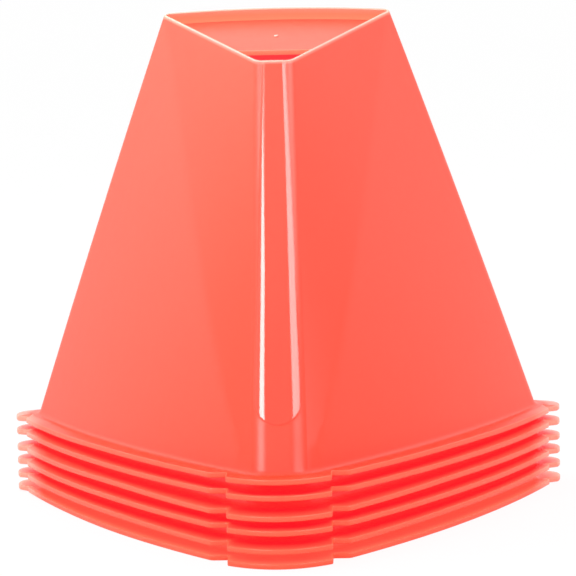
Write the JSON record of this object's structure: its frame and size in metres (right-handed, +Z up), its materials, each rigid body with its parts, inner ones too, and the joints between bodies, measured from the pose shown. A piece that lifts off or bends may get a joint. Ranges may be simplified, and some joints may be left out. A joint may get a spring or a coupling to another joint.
{
  "type": "stack of sports marker cones",
  "caption": "Nested stack of three-sided plastic marker cones with tabbed flanges and recessed slanted tops, set out on the ground to mark a sports field.",
  "frame": {"origin": "middle of the bottom flange's outline, on the surface that the stack stands on", "axes": "+Z up, the way the cones lift off; -Y towards the front corner with the flat band; +X towards the right side corner"},
  "size_m": [0.2404, 0.2002, 0.213],
  "materials": {
    "coral_plastic": "glossy, slightly translucent polyethylene"
  },
  "bodies": {
    "bottom_cone": {"bottom_cone": "coral_plastic"},
    "second_cone": {"second_cone": "coral_plastic"},
    "third_cone": {"third_cone": "coral_plastic"},
    "fourth_cone": {"fourth_cone": "coral_plastic"},
    "fifth_cone": {"fifth_cone": "coral_plastic"},
    "top_cone": {"top_cone": "coral_plastic"}
  },
  "joints": [
    {"name": "second_lift", "type": "slide", "parent": "bottom_cone", "child": "second_cone", "axis": [0, 0, 1], "range_m": [0, 0.18]},
    {"name": "third_lift", "type": "slide", "parent": "second_cone", "child": "third_cone", "axis": [0, 0, 1], "range_m": [0, 0.18]},
    {"name": "fourth_lift", "type": "slide", "parent": "third_cone", "child": "fourth_cone", "axis": [0, 0, 1], "range_m": [0, 0.18]},
    {"name": "fifth_lift", "type": "slide", "parent": "fourth_cone", "child": "fifth_cone", "axis": [0, 0, 1], "range_m": [0, 0.18]},
    {"name": "top_lift", "type": "slide", "parent": "fifth_cone", "child": "top_cone", "axis": [0, 0, 1], "range_m": [0, 0.18]}
  ]
}
